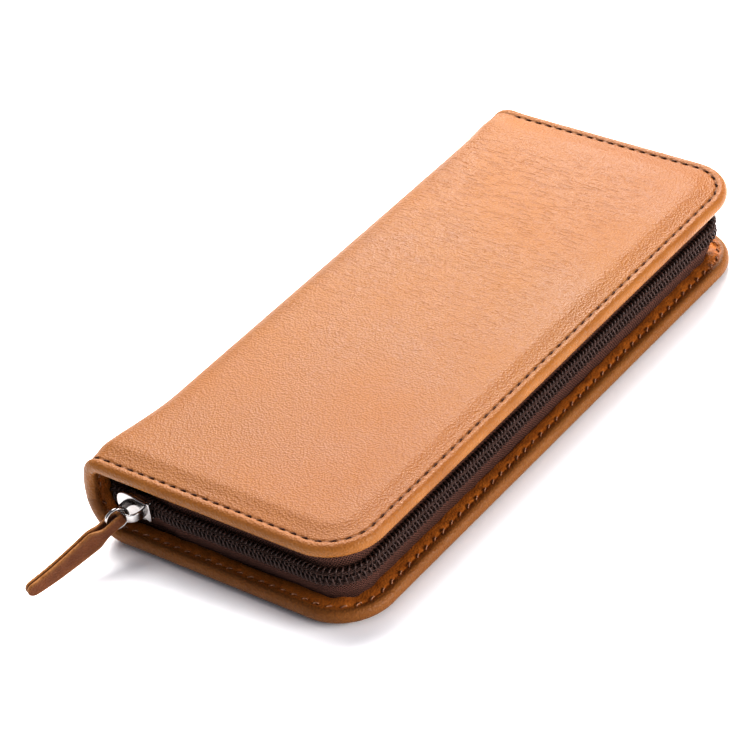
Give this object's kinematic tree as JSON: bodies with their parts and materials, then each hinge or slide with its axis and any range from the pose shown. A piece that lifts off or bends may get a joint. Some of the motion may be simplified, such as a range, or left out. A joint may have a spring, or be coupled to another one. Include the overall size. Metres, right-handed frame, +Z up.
{
  "type": "zip pen case",
  "caption": "Slim stiff-sided leather pen case: two covers folding on a spine, zip round three sides, slider with ring and leather pull, pen loops and a slip pocket inside.",
  "frame": {"origin": "centre of the closed case's footprint, on the underside it rests on", "axes": "+Z up through both covers, -Y towards the closed end of the zip with the pull, -X the spine, +X the opening edge"},
  "size_m": [0.0782, 0.1896, 0.0254],
  "materials": {
    "tan_leather": "vegetable-tanned, fine grain, satin",
    "strap_leather": "vegetable-tanned, cut edges, satin",
    "board": "grey board",
    "lining_fabric": "plain weave, matte",
    "zip_tape": "woven polyester, matte",
    "zip_coil": "nylon coil, semi-gloss",
    "thread": "twisted thread",
    "elastic": "ribbed elastic",
    "nickel": "polished nickel plate"
  },
  "bodies": {
    "lower_cover": {"lower_outer_leather": "tan_leather", "lower_stiffener_board": "board", "lower_lining": "lining_fabric", "lower_zip_tape": "zip_tape", "lower_zip_coil": "zip_coil", "lower_seam_thread": "thread", "pen_loop_band": "elastic", "pen_loop_thread": "thread"},
    "spine": {"spine_leather": "tan_leather", "spine_lining": "lining_fabric", "spine_end_thread": "thread", "lower_spine_bend": "tan_leather", "upper_spine_bend": "tan_leather"},
    "upper_cover": {"upper_outer_leather": "tan_leather", "upper_stiffener_board": "board", "upper_lining": "lining_fabric", "upper_zip_tape": "zip_tape", "upper_zip_coil": "zip_coil", "upper_seam_thread": "thread", "slip_pocket": "lining_fabric", "slip_pocket_thread": "thread"},
    "slider": {"slider_body": "nickel", "slider_bridge": "nickel"},
    "pull_ring": {"pull_ring": "nickel"},
    "pull_strap": {"pull_strap": "strap_leather"}
  },
  "joints": [
    {"name": "spine_fold", "type": "hinge", "parent": "lower_cover", "child": "spine", "pos_m": [-0.034, 0, 0.005], "axis": [0, -1, 0], "range_deg": [0, 90], "deforming": ["lower_spine_bend"]},
    {"name": "cover_fold", "type": "hinge", "parent": "spine", "child": "upper_cover", "pos_m": [-0.034, 0, 0.0204], "axis": [0, -1, 0], "range_deg": [0, 90], "deforming": ["upper_spine_bend"]},
    {"name": "zip_slide", "type": "slide", "parent": "lower_cover", "child": "slider", "axis": [1, 0, 0], "range_m": [0, 0.045]},
    {"name": "ring_swing", "type": "hinge", "parent": "slider", "child": "pull_ring", "pos_m": [-0.0264, -0.0824, 0.0127], "axis": [0, 0, 1], "range_deg": [-15, 65]},
    {"name": "strap_lift", "type": "hinge", "parent": "pull_ring", "child": "pull_strap", "pos_m": [-0.02763, -0.08492, 0.0127], "axis": [-0.8988, 0.4384, 0], "range_deg": [0, 60]}
  ],
  "couplings": [
    {"joint": "cover_fold", "follows": "spine_fold", "ratio": 1}
  ]
}
